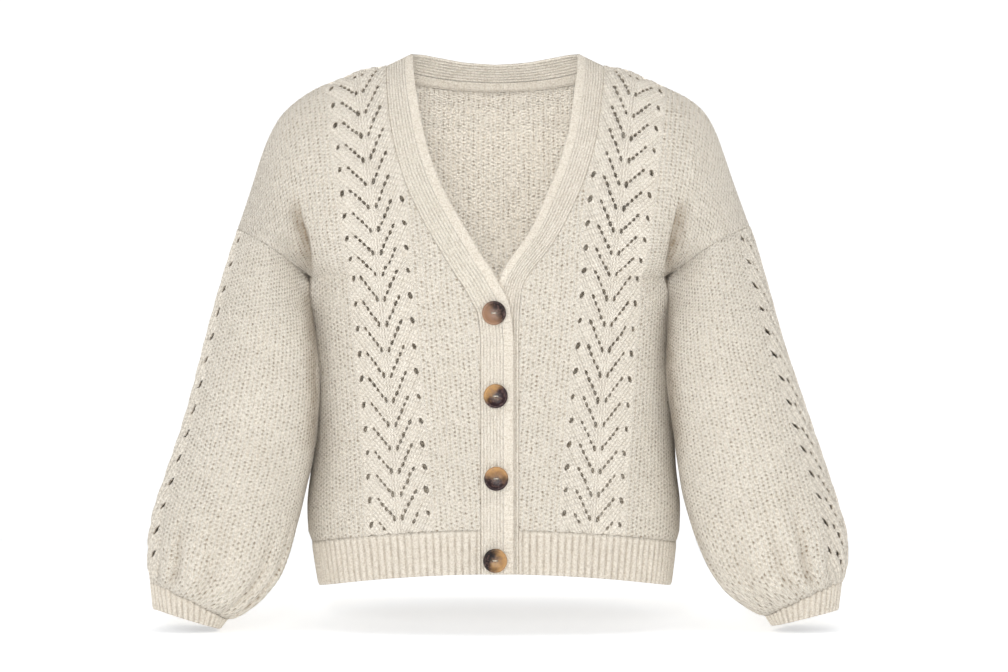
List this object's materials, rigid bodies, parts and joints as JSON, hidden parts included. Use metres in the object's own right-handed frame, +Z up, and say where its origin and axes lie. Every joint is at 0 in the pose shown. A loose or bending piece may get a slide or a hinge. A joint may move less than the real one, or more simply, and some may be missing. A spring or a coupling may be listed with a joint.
{
  "type": "button cardigan",
  "caption": "Chunky V-neck cardigan with dropped shoulders, full sleeves, leaf-lace panels, ribbed hem and cuffs and a round-button front",
  "frame": {"origin": "in the middle of the neck, level with the tops of the shoulder seams, where the wearer's shoulders hold the garment", "axes": "+Z up, +X to the wearer's left, front faces -Y"},
  "size_m": [0.7305, 0.2325, 0.5993],
  "materials": {
    "cream_wool": "matte chunky knit, cream heather",
    "horn": "polished tortoiseshell resin, golden tan to dark brown"
  },
  "bodies": {
    "root": {"front_right": "cream_wool", "front_left": "cream_wool", "back": "cream_wool", "sleeve_right_front": "cream_wool", "sleeve_right_back": "cream_wool", "sleeve_left_front": "cream_wool", "sleeve_left_back": "cream_wool", "front_band_right": "cream_wool", "back_neckband": "cream_wool", "front_band_left": "cream_wool", "hem_rib_right": "cream_wool", "hem_rib_left": "cream_wool", "hem_rib_back": "cream_wool", "cuff_right": "cream_wool", "cuff_left": "cream_wool", "button_1": "horn", "button_2": "horn", "button_3": "horn", "button_4": "horn"}
  },
  "joints": []
}
